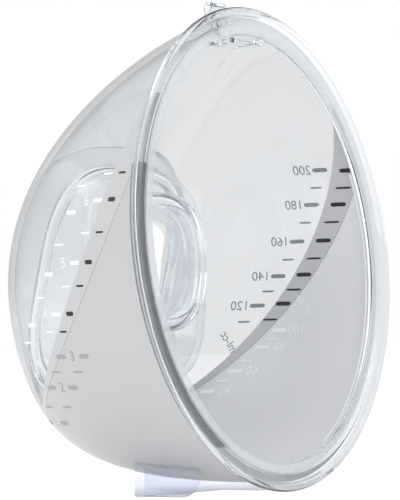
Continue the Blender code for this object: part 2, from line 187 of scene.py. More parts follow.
class ContainerColours(bpy.types.PropertyGroup):
    clear: colour_property("Clear", "Tint of the clear shell", "fafbfc")
    smoky: colour_property("Smoky", "Body of the smoky rear shell", "c9cacc")
    thick: colour_property("Thick", "Tint of the thick clear mouldings", "f5f9fe")
    foot: colour_property("Foot", "Tint of the clear foot", "f5f7fb")
    funnel: colour_property("Funnel", "Tint of the bay's funnel", "f4f5f7")
    gasket: colour_property("Gasket", "Body of the silicone gaskets", "e6ebf0")
    black_ink: colour_property("Black ink", "Marks on the band", "1c1c1e")
    grey_ink: colour_property("Grey ink", "Upper level marks", "a0a2a5")
    white_ink: colour_property("White ink", "Lower level marks", "e9ebee")


# ---------------------------------------------------------------- materials
def add_node(tree, kind, values=None, **settings):
    """Add a node, set its properties, and fill its inputs with values or links."""
    made = tree.nodes.new(kind)
    for name, value in settings.items():
        setattr(made, name, value)
    for socket, value in (values or {}).items():
        if isinstance(value, bpy.types.NodeSocket):
            tree.links.new(value, made.inputs[socket])
        else:
            made.inputs[socket].default_value = value
    return made


def new_material(name):
    """Empty material with its tree and its output node."""
    made = bpy.data.materials.new(name)
    made.use_nodes = True
    made.node_tree.nodes.clear()
    return made, made.node_tree


def noise(tree, size, detail):
    """Noise fixed to the object. size is one wave, in metres."""
    place = add_node(tree, "ShaderNodeTexCoord")
    return add_node(tree, "ShaderNodeTexNoise", {
        "Vector": place.outputs["Object"], "Scale": 1 / size, "Detail": detail,
    }).outputs["Fac"]


def blend(tree, share, first, second):
    """Colour between two plain colours."""
    return add_node(
        tree, "ShaderNodeMix", {0: share, 6: (*first, 1), 7: (*second, 1)}, data_type="RGBA"
    ).outputs[2]


def blend_level(tree, share, first, second):
    """Number between two numbers."""
    return add_node(tree, "ShaderNodeMix", {0: share, 2: first, 3: second}, data_type="FLOAT").outputs[0]


def math_node(tree, operation, first, second):
    return add_node(tree, "ShaderNodeMath", {0: first, 1: second}, operation=operation).outputs[0]


def show(tree, shader):
    """Use a shader as the material's surface."""
    add_node(tree, "ShaderNodeOutputMaterial", {"Surface": shader.outputs[0]})


def seen_directly(tree):
    """1 where the camera looks straight at a surface, 0 through plastic and in reflections."""
    path = add_node(tree, "ShaderNodeLightPath")
    straight = math_node(tree, "LESS_THAN", path.outputs["Transparent Depth"], 0.5)
    return math_node(tree, "MULTIPLY", path.outputs["Is Camera Ray"], straight)


def flow_ripple(tree, size, strength):
    """Faint waviness that moulding leaves in plastic, as a normal. size is one wave, in metres."""
    bump = add_node(tree, "ShaderNodeBump", {
        "Height": noise(tree, size, 2.0), "Strength": strength, "Distance": 0.001,
    })
    return bump.outputs["Normal"]


def edge_mirror(tree, normal):
    """How much a thin wall mirrors. Its inner face mirrors like its outer one, as if the wall had no
    thickness, so that light isn't caught inside it."""
    side = add_node(tree, "ShaderNodeNewGeometry")
    turned = blend_level(tree, side.outputs["Backfacing"], RESIN_IOR, 1 / RESIN_IOR)
    return add_node(tree, "ShaderNodeFresnel", {"IOR": turned, "Normal": normal}).outputs[0]


def clear_copolyester(name, tint, edge=0.45, ripple=0.05):
    """Injection-moulded clear copolyester in a thin wall: it barely bends what is behind it, and
    mirrors the room more and more towards its edges. edge is how much it darkens there, where
    light runs a long way inside the wall."""
    made, tree = new_material(name)
    normal = flow_ripple(tree, 0.020, ripple)
    slant = add_node(tree, "ShaderNodeLayerWeight", {"Blend": 0.5})
    steep = math_node(tree, "POWER", slant.outputs["Facing"], 5.0)
    dark = tuple(c * (1 - edge) for c in tint)
    through = add_node(tree, "ShaderNodeBsdfTransparent", {"Color": blend(tree, steep, tint, dark)})
    mirror = add_node(tree, "ShaderNodeBsdfAnisotropic", {
        "Color": (1, 1, 1, 1), "Roughness": 0.04, "Normal": normal,
    })
    both = add_node(tree, "ShaderNodeMixShader", {
        0: edge_mirror(tree, normal), 1: through.outputs[0], 2: mirror.outputs[0],
    })
    show(tree, both)
    return made


def thick_copolyester(name, tint):
    """The same resin in thick ribs and collars, which bend light like glass and look faintly blue."""
    made, tree = new_material(name)
    paler = tuple(c + (1 - c) * 0.5 for c in tint)
    body = add_node(tree, "ShaderNodeBsdfPrincipled", {
        "Base Color": blend(tree, noise(tree, 0.03, 0.0), tint, paler),
        "Roughness": 0.01,
        "IOR": RESIN_IOR,
        "Transmission Weight": 1.0,
    })
    show(tree, body)
    return made


def smoky_copolyester(name, colour, alpha, inside=1.0):
    """Translucent resin with a little pigment, moulded and polished: cloudy all through, glossy on top.
    inside is how light the wall's inner face is near the top, as a share of its outer face: painted
    light. It is chosen for the look of the container, and falls a little towards the bottom as painted
    shade."""
    made, tree = new_material(name)
    place = add_node(tree, "ShaderNodeTexCoord")
    darker = tuple(c * 0.96 for c in colour)
    mixed = blend(tree, noise(tree, 0.045, 1.0), darker, colour)
    out_of_axis = add_node(
        tree, "ShaderNodeVectorMath", {0: place.outputs["Object"], 1: (1, 0, 0)}, operation="MULTIPLY"
    )
    side = add_node(tree, "ShaderNodeVectorMath", {
        0: out_of_axis.outputs[0], 1: place.outputs["Normal"],
    }, operation="DOT_PRODUCT")
    # Painted light and shade on the inner face: lighter than the outer face by inside near the top, darker
    # towards the bottom.
    inner = math_node(tree, "LESS_THAN", side.outputs["Value"], 0.0)
    height = add_node(tree, "ShaderNodeSeparateXYZ", {0: place.outputs["Object"]})
    painted_shade_by_height = add_node(tree, "ShaderNodeMapRange", {
        "Value": height.outputs["Z"], "From Min": 0.020, "From Max": 0.095,
        "To Min": inside * 0.82, "To Max": inside,
    })
    shade = blend_level(tree, inner, 1.0, painted_shade_by_height.outputs["Result"])
    toned = add_node(tree, "ShaderNodeVectorMath", {0: mixed, "Scale": shade}, operation="SCALE")
    body = add_node(tree, "ShaderNodeBsdfPrincipled", {
        "Base Color": toned.outputs[0],
        "Roughness": 0.28,
        "IOR": RESIN_IOR,
        "Alpha": alpha,
        "Normal": flow_ripple(tree, 0.025, 0.03),
    })
    show(tree, body)
    return made


def shaded_copolyester(name, colour):
    """The smoky resin in the flange under the rim, with painted light and shade across it: lighter towards
    -X, toned darker towards +X. The tone is chosen for the look of the container, and isn't a known
    property of the moulding."""
    made, tree = new_material(name)
    place = add_node(tree, "ShaderNodeTexCoord")
    across = add_node(tree, "ShaderNodeSeparateXYZ", {0: place.outputs["Object"]})
    # Painted light and shade: the flange's tone runs from 1.45 at -X to 0.42 at +X.
    share = add_node(tree, "ShaderNodeMapRange", {
        "Value": across.outputs["X"], "From Min": -0.02, "From Max": 0.03, "To Min": 1.45, "To Max": 0.42,
    }, interpolation_type="SMOOTHSTEP")
    toned = add_node(tree, "ShaderNodeVectorMath", {
        0: colour, "Scale": share.outputs["Result"],
    }, operation="SCALE")
    body = add_node(tree, "ShaderNodeBsdfPrincipled", {"Base Color": toned.outputs[0], "Roughness": 0.35})
    show(tree, body)
    return made


def clear_silicone(name, colour):
    """Compression-moulded silicone: hazy, soft sheen, faint parting texture."""
    made, tree = new_material(name)
    body = add_node(tree, "ShaderNodeBsdfPrincipled", {
        "Base Color": (*colour, 1),
        "Roughness": 0.22,
        "IOR": SILICONE_IOR,
        "Alpha": 0.35,
        "Normal": flow_ripple(tree, 0.004, 0.10),
    })
    show(tree, body)
    return made


def pad_ink(name, colour):
    """Pad-printed ink: opaque, matt, slightly uneven where the pad lifts."""
    made, tree = new_material(name)
    lighter = tuple(min(1.0, c * 1.10 + 0.005) for c in colour)
    mixed = blend(tree, noise(tree, 0.0012, 3.0), colour, lighter)
    body = add_node(tree, "ShaderNodeBsdfPrincipled", {"Base Color": mixed, "Roughness": 0.55})
    show(tree, body)
    return made


# ---------------------------------------------------------------- mesh helpers
def new_piece(name, fill):
    """Object at the origin with the bmesh that fill(bm) shapes."""
    mesh = bpy.data.meshes.new(name)
    bm = bmesh.new()
    fill(bm)
    bm.to_mesh(mesh)
    bm.free()
    made = bpy.data.objects.new(name, mesh)
    bpy.context.scene.collection.objects.link(made)
    return made


def finish_piece(piece, material, body, node=None, angle=35):
    """Smooth a piece, give it its material, and tie it to the frame."""
    piece.data.materials.clear()
    piece.data.materials.append(material)
    piece.data.shade_smooth()
    piece.data.set_sharp_from_angle(angle=math.radians(angle))
    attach(piece, body)
    if node:
        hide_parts(node)
    return piece


def settle(piece):
    """Turn a piece's modifiers into its mesh."""
    bpy.context.view_layer.update()
    live = piece.evaluated_get(bpy.context.evaluated_depsgraph_get())
    mesh = bpy.data.meshes.new_from_object(live)
    piece.modifiers.clear()
    piece.data = mesh
    return piece


def cut(piece, cutter, operation="DIFFERENCE"):
    step = piece.modifiers.new(operation.title(), "BOOLEAN")
    step.operation = operation
    step.solver = "EXACT"
    step.object = cutter


def round_edges(piece, width, segments=2, angle=40):
    step = piece.modifiers.new("Round", "BEVEL")
    step.width = width
    step.segments = segments
    step.limit_method = "ANGLE"
    step.angle_limit = math.radians(angle)
    step.use_clamp_overlap = True


def remove(*pieces):
    for piece in pieces:
        bpy.data.objects.remove(piece, do_unlink=True)


def skin(bm, around, across, place, close_across):
    """Wrap a grid into a tube: place(u, v) gives each corner, u once round in [0, 1)."""
    rows = across + 1 if close_across else across
    bmesh.ops.create_grid(bm, x_segments=around, y_segments=rows - 1, size=0.5)
    for vert in bm.verts:
        step = round((vert.co.x + 0.5) * around) % around
        row = round((vert.co.y + 0.5) * (rows - 1)) % across
        vert.co = place(step / around, row)
    bmesh.ops.remove_doubles(bm, verts=bm.verts, dist=MERGE_DISTANCE)
    bmesh.ops.recalc_face_normals(bm, faces=bm.faces)


def ring(name, section, outline, around, round_width=0.0, segments=3):
    """Closed ring of a section, with its sharp edges rounded."""

    def fill(bm):
        skin(bm, around, len(section), lambda u, row: outline(u, section[row]), True)
        if round_width:
            sharp = [e for e in bm.edges if e.calc_face_angle(0) > SHARP_EDGE]
            bmesh.ops.bevel(
                bm, geom=sharp, offset=round_width, segments=segments, affect="EDGES",
                profile=0.5, material=-1, clamp_overlap=True,
            )
            bmesh.ops.recalc_face_normals(bm, faces=bm.faces)

    return new_piece(name, fill)


def prism(name, outline, low_x, high_x):
    """Solid with a YZ outline, from low_x to high_x."""

    def fill(bm):
        face = bm.faces.new([bm.verts.new((low_x, y, z)) for y, z in outline])
        grown = bmesh.ops.extrude_face_region(bm, geom=[face])
        moved = [v for v in grown["geom"] if isinstance(v, bmesh.types.BMVert)]
        bmesh.ops.translate(bm, vec=(high_x - low_x, 0, 0), verts=moved)
        bmesh.ops.recalc_face_normals(bm, faces=bm.faces)

    return new_piece(name, fill)


def box(name, low, high):
    def fill(bm):
        size = Vector(high) - Vector(low)
        middle = (Vector(high) + Vector(low)) / 2
        placed = Matrix.Translation(middle) @ Matrix.Diagonal((*size, 1))
        bmesh.ops.create_cube(bm, size=1, matrix=placed)

    return new_piece(name, fill)


# ---------------------------------------------------------------- outlines of the container
def superellipse(half_width, half_height, exponent, angle):
    """Point at an angle on a superellipse, as (x, z)."""
    c, s = math.cos(angle), math.sin(angle)
    return (
        half_width * math.copysign(abs(c) ** (2 / exponent), c),
        half_height * math.copysign(abs(s) ** (2 / exponent), s),
    )


def dome_point(angle, step, outset=0.0):
    """Outer surface of the dome. step runs from 0 at the mouth plane to 1 at the nose."""
    x = (RIM_WIDTH / 2 - SHELL_INSET + outset) * math.cos(angle)
    z = (RIM_HEIGHT / 2 - SHELL_INSET + outset) * math.sin(angle)
    upness = math.sin(angle)
    share = upness * upness
    exponent = PROFILE_SIDE * (1 - share) + (PROFILE_TOP if upness > 0 else PROFILE_BOTTOM) * share
    turn = step * math.pi / 2
    narrow = max(math.cos(turn), 0.0) ** (2 / exponent)
    reach = math.sin(turn) ** (2 / exponent)
    waist = WAIST * 4 * reach * (1 - reach)
    return CENTRE + Vector((
        x * (narrow - waist),
        -math.tan(RIM_LEAN) * z * narrow - (CUP_DEPTH + outset) * reach,
        -NOSE_BELOW_MIDDLE + (z + NOSE_BELOW_MIDDLE) * narrow,
    ))


def dome_surface(bm, outset=0.0):
    skin(bm, AROUND, RINGS + 1, lambda u, row: dome_point(u * 2 * math.pi, row / RINGS, outset), False)
    nose = min(bm.verts, key=lambda vert: vert.co.y)
    if nose.normal.y > 0:
        bmesh.ops.reverse_faces(bm, faces=bm.faces)


def dome_tree():
    bm = bmesh.new()
    dome_surface(bm)
    tree = BVHTree.FromBMesh(bm)
    bm.free()
    return tree


DOME = dome_tree()


def filled_dome(name, outset=0.0):
    """The dome as a solid body, closed across the mouth."""

    def fill(bm):
        dome_surface(bm, outset)
        bmesh.ops.holes_fill(bm, edges=[e for e in bm.edges if e.is_boundary], sides=0)
        bmesh.ops.recalc_face_normals(bm, faces=bm.faces)

    return new_piece(name, fill)


def lean_point(x, inset_z, depth):
    """Point in the leaning mouth frame."""
    return CENTRE + Vector((x, 0, 0)) + Matrix.Rotation(RIM_LEAN, 3, "X") @ Vector((0, depth, inset_z))


def rim_outline(u, point):
    inset, depth = point
    half_height = RIM_HEIGHT / 2 / math.cos(RIM_LEAN)
    x, z = superellipse(RIM_WIDTH / 2 - inset, half_height - inset, 2, u * 2 * math.pi)
    return lean_point(x, z, depth)


def collar_line(height, depth):
    """(y, z) of the mouth plane moved forward by depth, at a height from the rim's middle."""
    return (
        CENTRE.y - math.tan(RIM_LEAN) * height - depth / math.cos(RIM_LEAN),
        CENTRE.z + height,
    )


def band_middle(u):
    """Point of the band's middle line, from the rim's middle, and its normal. u is 0 at the top."""
    chord = BAND_BOTTOM - BAND_TOP
    normal = Vector((-chord.y, chord.x)).normalized()
    return BAND_TOP + chord * u + normal * BAND_SAG * 4 * u * (1 - u), normal


def band_y(height):
    """Y of the band's middle line at a height, both from the rim's middle."""
    low, high = BAND_RUN
    for _ in range(40):
        u = (low + high) / 2
        if band_middle(u)[0].y > height:
            low = u
        else:
            high = u
    return band_middle(low)[0].x


def band_edge(side, gap):
    """Edge of the seam band as (y, z) points, top to bottom. side -1 is its front edge."""
    points = []
    start, end = BAND_RUN
    for i in range(BAND_STEPS + 1):
        u = start + (end - start) * i / BAND_STEPS
        middle, normal = band_middle(u)
        width = BAND_WIDTH_TOP + (BAND_WIDTH_BOTTOM - BAND_WIDTH_TOP) * u
        point = middle + normal * side * (max(width, BAND_WIDTH_BOTTOM) / 2 + gap)
        points.append((CENTRE.y + point.x, CENTRE.z + point.y))
    return points


def clip_to_collar(points, depth):
    """Keep the part of an edge in front of the collar, starting on the collar's front plane."""
    kept = []
    last = None
    for y, z in points:
        line_y = collar_line(z - CENTRE.z, depth)[0]
        if y < line_y and not kept and last:
            t = (last[2] - last[0]) / ((last[2] - last[0]) - (line_y - y))
            kept.append(collar_line(last[1] + t * (z - last[1]) - CENTRE.z, depth))
        if y < line_y:
            kept.append((y, z))
        last = (y, z, line_y)
    return kept


def shell_regions(gap, depth):
    """YZ outlines of the front panel, the band and the rear shell."""
    reach = RIM_HEIGHT
    front, rear = (clip_to_collar(band_edge(side, gap / 2), depth) for side in (-1, 1))
    band_front, band_rear = (clip_to_collar(band_edge(side, -gap / 2), depth) for side in (-1, 1))
    top, bottom = collar_line(reach, depth), collar_line(-reach, depth)
    panel = [top] + front + [(front[-1][0], -reach), (-reach * 1.5, -reach), (-reach * 1.5, top[1])]
    return panel, band_front + band_rear[::-1], rear + [(rear[-1][0], -reach), bottom]


def dome_front(height):
    start = CENTRE + Vector((0, -2 * CUP_DEPTH, height))
    return DOME.ray_cast(start, Vector((0, 1, 0)))[0].y - CENTRE.y


LIP_LOW_Y = dome_front(BAY_CENTRE_Z - BAY_HALF_HEIGHT) + LIP_RECESS[0]
LIP_HIGH_Y = dome_front(BAY_CENTRE_Z + BAY_HALF_HEIGHT) + LIP_RECESS[1]
BAY_FLOOR_Y = LIP_HIGH_Y + LIP_DEPTH + FIT_GAP + BAY_CORNER + BAY_SHORTEST_WALL


def lip_y(z):
    return LIP_LOW_Y + (LIP_HIGH_Y - LIP_LOW_Y) * (z + BAY_HALF_HEIGHT) / (2 * BAY_HALF_HEIGHT)


def lip_point(u, outset, behind):
    """Point on the bay's outline, outset from its wall and behind the lip plane."""
    half_width, half_height = BAY_HALF_WIDTH + outset, BAY_HALF_HEIGHT + outset
    x, z = superellipse(half_width, half_height, BAY_SQUARENESS, u * 2 * math.pi)
    return CENTRE + Vector((x, lip_y(z) + behind, BAY_CENTRE_Z + z))


def mouth_point(u, outset, ahead):
    """Point on the bay mouth's outline, ahead of the dome's surface."""
    flare = MOUTH_FLARE + outset
    x, z = superellipse(BAY_HALF_WIDTH + flare, BAY_HALF_HEIGHT + flare, BAY_SQUARENESS, u * 2 * math.pi)
    start = CENTRE + Vector((x, -2 * CUP_DEPTH, BAY_CENTRE_Z + z))
    hit = DOME.ray_cast(start, Vector((0, 1, 0)))[0]
    return Vector((start.x, hit.y - ahead, start.z))


def port_point(u, radius, y):
    x, z = superellipse(radius, radius, PORT_SQUARENESS, u * 2 * math.pi)
    return CENTRE + Vector((x, y, PORT_CENTRE_Z + z))


# ---------------------------------------------------------------- operators
class CONTAINER_OT_shells(bpy.types.Operator):
    """Mould the front panel, the seam band and the rear shell from one dome"""

    bl_idname = "container.shells"
    bl_label = "Shells"

    def execute(self, context):
        sizes, colours = context.scene.container_sizes, context.scene.container_colours
        clear = clear_copolyester("clear_copolyester_shell", tuple(colours.clear), 0.85)
        # The smoky shell and band are one resin; their inner faces carry painted light, 1.52 and 1.08
        # times their outer faces near the top.
        smoky = smoky_copolyester("smoky_copolyester_shell", tuple(colours.smoky), 0.93, 1.52)
        band = smoky_copolyester("smoky_copolyester_band", tuple(colours.smoky), 0.96, 1.08)
        depth = COLLAR_DEPTH + sizes.seam_gap
        outset, back = FUNNEL_WALL

        def plug(bm):
            rows = (
                lambda u: lip_point(u, outset + FIT_GAP, back + FIT_GAP),
                lambda u: mouth_point(u, outset + sizes.seam_gap, -back - FIT_GAP),
                lambda u: mouth_point(u, sizes.seam_gap, MOUTH_AHEAD),
                lambda u: mouth_point(u, sizes.seam_gap, CUP_DEPTH),
            )
            skin(bm, BAY_AROUND, len(rows), lambda u, row: rows[row](u), False)
            bmesh.ops.holes_fill(bm, edges=[e for e in bm.edges if e.is_boundary], sides=0)
            bmesh.ops.recalc_face_normals(bm, faces=bm.faces)

        mouth = new_piece("cut_mouth", plug)
        kinds = (
            ("front_panel", clear, "clear_shell"),
            ("seam_band", band, "seam_band"),
            ("rear_shell", smoky, "tinted_shell"),
        )
        for (node, material, slot), outline in zip(kinds, shell_regions(sizes.seam_gap, depth)):
            region = prism("region_" + node, outline, -RIM_WIDTH, RIM_WIDTH)
            shell = new_piece("moulded_" + node, dome_surface)
            wall = shell.modifiers.new("Wall", "SOLIDIFY")
            wall.thickness = sizes.wall
            wall.offset = -1
            wall.use_even_offset = True
            wall.use_quality_normals = True
            cut(shell, region, "INTERSECT")
            if node == "front_panel":
                cut(shell, mouth)
            settle(shell)
            finish_piece(shell, material, ROOT, node)
            remove(region)
        remove(mouth)
        return {"FINISHED"}


class CONTAINER_OT_rim(bpy.types.Operator):
    """Turn the rim's collar and the gasket in its step"""

    bl_idname = "container.rim"
    bl_label = "Rim"

    def execute(self, context):
        colours = context.scene.container_colours
        inner = COLLAR_LAND + SEAL_WIDTH + FIT_GAP
        shelf = -(COLLAR_DEPTH - LEDGE_THICKNESS)
        collar = [
            (COLLAR_CHAMFER, 0), (BEAD_WIDTH, 0),
            (BEAD_WIDTH + BEAD_STEP, -BEAD_STEP), (COLLAR_LAND, -BEAD_STEP),
            (COLLAR_LAND, shelf), (inner, shelf), (inner, -COLLAR_DEPTH), (SHELL_INSET, -COLLAR_DEPTH),
            (0, -COLLAR_EDGE), (0, -COLLAR_CHAMFER),
        ]
        piece = ring("rim_collar_moulding", collar, rim_outline, RIM_AROUND, COLLAR_ROUND)
        finish_piece(
            piece, thick_copolyester("thick_copolyester_rim", tuple(colours.thick)),
            ROOT, "rim_collar",
        )
        start = COLLAR_DEPTH + FIT_GAP / 3
        outer = SHELL_INSET + FLANGE_INSET
        flange = [(outer, -start), (inner, -start), (inner, -start - FLANGE), (outer, -start - FLANGE)]
        piece = ring("rear_shell_flange", flange, rim_outline, AROUND)
        low_z, high_z = CENTRE.z + FLANGE_FROM, CENTRE.z + FLANGE_TO
        reach = RIM_HEIGHT
        slab = [(-reach, low_z), (reach, low_z), (reach, high_z), (-reach, high_z)]
        region = prism("region_flange", slab, -RIM_WIDTH, RIM_WIDTH)
        cut(piece, region, "INTERSECT")
        settle(piece)
        remove(region)
        # The flange's material paints light and shade across X.
        finish_piece(
            piece, shaded_copolyester("smoky_copolyester_flange_painted_shading", tuple(colours.smoky)),
            ROOT, None,
        )
        near, far = COLLAR_LAND + FIT_GAP, COLLAR_LAND + FIT_GAP + SEAL_WIDTH
        gasket = [(near, SEAL_PROUD), (far, SEAL_PROUD), (far, shelf + FIT_GAP), (near, shelf + FIT_GAP)]
        piece = ring("rim_gasket_moulding", gasket, rim_outline, RIM_AROUND, SEAL_ROUND)
        finish_piece(
            piece, clear_silicone("clear_silicone_rim", tuple(colours.gasket)),
            "rim_gasket", "rim_seal",
        )
        return {"FINISHED"}


class CONTAINER_OT_bay(bpy.types.Operator):
    """Mould the pump bay: its funnel, its lip and its tray"""

    bl_idname = "container.bay"
    bl_label = "Pump bay"

    def execute(self, context):
        sizes, colours = context.scene.container_sizes, context.scene.container_colours
        outset, back = FUNNEL_WALL
        corners = (
            lambda u: lip_point(u, 0, 0),
            lambda u: mouth_point(u, 0, MOUTH_AHEAD),
            lambda u: mouth_point(u, outset, -back),
            lambda u: lip_point(u, outset, back),
        )
        funnel = ring("bay_funnel_moulding", corners, lambda u, p: p(u), BAY_AROUND)
        volume = filled_dome("dome_volume")
        cut(funnel, volume, "INTERSECT")
        settle(funnel)
        remove(volume)
        finish_piece(
            funnel, clear_copolyester("clear_copolyester_funnel", tuple(colours.funnel), 0.75),
            ROOT, "bay_funnel",
        )

        outer, inner = -FIT_GAP, -FIT_GAP - LIP_WIDTH
        section = [(inner, -LIP_PROUD), (outer, -LIP_PROUD), (outer, LIP_DEPTH), (inner, LIP_DEPTH)]
        lip = ring("bay_lip_moulding", section, lambda u, p: lip_point(u, *p), BAY_AROUND, LIP_ROUND, 4)
        finish_piece(
            lip, thick_copolyester("thick_copolyester_lip", tuple(colours.thick)),
            ROOT, "bay_lip",
        )

        arc = [math.pi / 2 * i / 8 for i in range(9)]
        section = [("wall", 0.0)]
        section += [("outer", a) for a in arc]
        section += [("hole", BAY_FLOOR_Y), ("hole", BAY_FLOOR_Y - sizes.wall)]
        section += [("inner", a) for a in reversed(arc)]
        section += [("wall", sizes.wall)]

        def tray_point(u, place):
            kind, value = place
            if kind == "wall":
                return lip_point(u, -value, LIP_DEPTH + FIT_GAP)
            if kind == "hole":
                return port_point(u, PORT_HOLE_RADIUS, value)
            outer_side = kind == "outer"
            radius = BAY_CORNER if outer_side else BAY_CORNER - sizes.wall
            base = BAY_DRAFT if outer_side else BAY_DRAFT + sizes.wall
            inset = base + radius * (1 - math.cos(value))
            y = BAY_FLOOR_Y - (0 if outer_side else sizes.wall) - radius * (1 - math.sin(value))
            x, z = superellipse(
                BAY_HALF_WIDTH - inset, BAY_HALF_HEIGHT - inset, BAY_SQUARENESS, u * 2 * math.pi
            )
            return CENTRE + Vector((x, y, BAY_CENTRE_Z + z))

        tray = ring("pump_bay_moulding", section, tray_point, BAY_AROUND)
        finish_piece(
            tray, clear_copolyester("clear_copolyester_bay", tuple(colours.clear)),
            ROOT, "pump_bay",
        )
        return {"FINISHED"}


class CONTAINER_OT_port(bpy.types.Operator):
    """Mould the port's collar and the gasket in it"""

    bl_idname = "container.port"
    bl_label = "Port"

    def execute(self, context):
        colours = context.scene.container_colours
        low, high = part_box("port_collar")
        start, end = low.y - CENTRE.y, high.y - CENTRE.y
        outer, inner = PORT_RADIUS, PORT_RADIUS - PORT_WALL
        root = outer - PORT_STEP
        section = [
            (inner, start), (root, start), (root, end - PORT_STEP_FROM), (outer, end - PORT_STEP_TO),
            (outer, end), (inner, end),
        ]
        collar = ring(
            "port_collar_moulding", section, lambda u, p: port_point(u, *p), PORT_AROUND, PORT_ROUND, 4
        )
        finish_piece(
            collar, thick_copolyester("thick_copolyester_port", tuple(colours.thick)),
            ROOT, "port_collar",
        )
        low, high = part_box("port_seal")
        start, end = low.y - CENTRE.y, high.y - CENTRE.y
        rim, bore = (high.x - low.x) / 2, PORT_HOLE_RADIUS + PORT_SEAL_BORE_GAP
        step = (rim - bore) / 2
        shelf = end - PORT_SEAL_STEP
        section = [
            (bore, start), (rim, start), (rim, end),
            (rim - step, end), (rim - step, shelf), (bore, shelf),
        ]
        gasket = ring(
            "port_gasket_moulding", section, lambda u, p: port_point(u, *p), PORT_AROUND, PORT_SEAL_ROUND
        )
        finish_piece(
            gasket, clear_silicone("clear_silicone_port", tuple(colours.gasket)),
            "port_gasket", "port_seal",
        )
        return {"FINISHED"}


class CONTAINER_OT_foot(bpy.types.Operator):
    """Mould the foot, a skirt open to the rear"""

    bl_idname = "container.foot"
    bl_label = "Foot"

    def execute(self, context):
        sizes, colours = context.scene.container_sizes, context.scene.container_colours
        low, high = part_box("base_foot")
        corner, wall = FOOT_CORNER, FOOT_WALL
        top = high.z + FOOT_REACH
        outline = [(low.y, low.z), (high.y - corner, low.z)]
        for i in range(1, FOOT_STEPS + 1):
            a = math.pi / 2 * i / FOOT_STEPS
            outline.append((high.y - corner + corner * math.sin(a), low.z + corner * (1 - math.cos(a))))
        outline += [(high.y, top), (low.y, top)]
        foot = prism("base_foot_moulding", outline, low.x, high.x)
        inside = box(
            "cut_foot_inside",
            (low.x + wall, low.y + wall, low.z - FOOT_REACH / 2),
            (high.x - wall, high.y + FOOT_REACH, top + FOOT_REACH / 2),
        )
        cut(foot, inside)
        round_edges(foot, sizes.edge_round, 3)
        dome = filled_dome("cut_foot_dome", sizes.seam_gap)
        cut(foot, dome)
        settle(foot)
        remove(inside, dome)
        finish_piece(
            foot, clear_copolyester("clear_copolyester_foot", tuple(colours.foot), 0.7),
            ROOT, "base_foot",
        )
        return {"FINISHED"}


class CONTAINER_OT_latch(bpy.types.Operator):
    """Give the latch tab and its catch their rounded edges"""

    bl_idname = "container.latch"
    bl_label = "Latch"

    def execute(self, context):
        colours = context.scene.container_colours
        clear = thick_copolyester("thick_copolyester_latch", tuple(colours.thick))
        for node, body in (("latch_tab", "latch"), ("latch_catch", ROOT)):

            def fill(bm, node=node):
                bm.from_mesh(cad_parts[node].data)
                bmesh.ops.remove_doubles(bm, verts=bm.verts, dist=MERGE_DISTANCE)
                bmesh.ops.dissolve_limit(bm, angle_limit=0.02, verts=bm.verts, edges=bm.edges)
                sharp = [e for e in bm.edges if e.calc_face_angle(0) > SHARP_EDGE]
                bmesh.ops.bevel(
                    bm, geom=sharp, offset=LATCH_ROUND, segments=2, affect="EDGES",
                    profile=0.5, material=-1, clamp_overlap=True,
                )

            piece = new_piece(node + "_moulding", fill)
            finish_piece(piece, clear, body, node)
        return {"FINISHED"}


# Level scales: height from the rim's middle in millimetres, number, and whether it is above the band
MILLILITRE_SCALE = (
    (26.0, "200", True), (20.5, "", True), (15.2, "180", True), (9.6, "", True), (3.7, "160", True),
    (-2.0, "", True), (-7.2, "140", True), (-12.0, "", True), (-16.5, "120", True), (-21.6, "", True),
    (-25.2, "100", False), (-27.9, "", False), (-30.6, "80", False), (-35.0, "", False),
    (-38.3, "60", False), (-41.4, "", False), (-44.8, "40", False),
)
OUNCE_SCALE = (
    (21.4, "", True), (13.8, "6", True), (4.5, "", True), (-4.0, "5", True), (-10.8, "", True),
    (-18.8, "4", True), (-24.0, "", True), (-31.4, "3", False), (-36.0, "", False),
    (-40.6, "2", False), (-46.5, "", False), (-51.5, "1", False),
)
LIGHT_TICK = 0.45             # weight of the ticks between the numbers, as a share of the others
SHORT_TICK = 0.8              # length of the shorter ticks, as a share of the others
BAND_OUNCE_TICK = 0.6
# Places ahead of the band's middle line in millimetres: of the marks above the band, and below it
MILLILITRE_TICK = (10, -7)
MILLILITRE_NUMBER = (16, -13)
OUNCE_TICKS = ((6, 16), (-3, -13))
OUNCE_NUMBER = (11, -8)
OUNCE_FAR_DROP = (3, 0)       # how much lower the far tick of a pair sits


def flank_point(side, y, z, lift):
    """Point on the dome's flank beside (y, z), which are from the rim's middle, and a lift above it."""
    start = CENTRE + Vector((side * RIM_WIDTH, y, z))
    hit, normal, _, _ = DOME.ray_cast(start, Vector((-side, 0, 0)))
    if hit is None:
        raise RuntimeError(f"no flank at y {y:.4f}, z {z:.4f}")
    return hit + normal * lift


def printed(name, fill_flat, side, place, material, ink, depth=0.0, turn=0.0):
    """Print a flat shape on the flank at (y, z). Its x runs in reading direction, seen from outside.
    depth is how far the ink reaches into the wall: all through it on the smoky pieces."""
    reading = Vector((side * math.cos(turn), math.sin(turn)))
    rising = Vector((-side * math.sin(turn), math.cos(turn)))

    def fill(bm):
        fill_flat(bm)
        grown = bmesh.ops.extrude_face_region(bm, geom=bm.faces[:])
        top = [v for v in grown["geom"] if isinstance(v, bmesh.types.BMVert)]
        bmesh.ops.translate(bm, vec=(0, 0, 1), verts=top)
        for vert in bm.verts:
            flat = Vector(place) + reading * vert.co.x + rising * vert.co.y
            lift = ink * 1.5 if vert.co.z > 0.5 else ink / 2 - depth
            vert.co = flank_point(side, flat.x, flat.y, lift)
        bmesh.ops.recalc_face_normals(bm, faces=bm.faces)

    return finish_piece(new_piece(name, fill), material, ROOT)


def bar(length, weight):
    """Flat bar with round ends."""

    def fill(bm):
        bmesh.ops.create_grid(bm, x_segments=6, y_segments=2, size=0.5)
        for vert in bm.verts:
            pinch = 1 - 0.35 * (abs(vert.co.x) > 0.49) * (abs(vert.co.y) > 0.49)
            vert.co = Vector((vert.co.x * length, vert.co.y * weight * pinch, 0))

    return fill


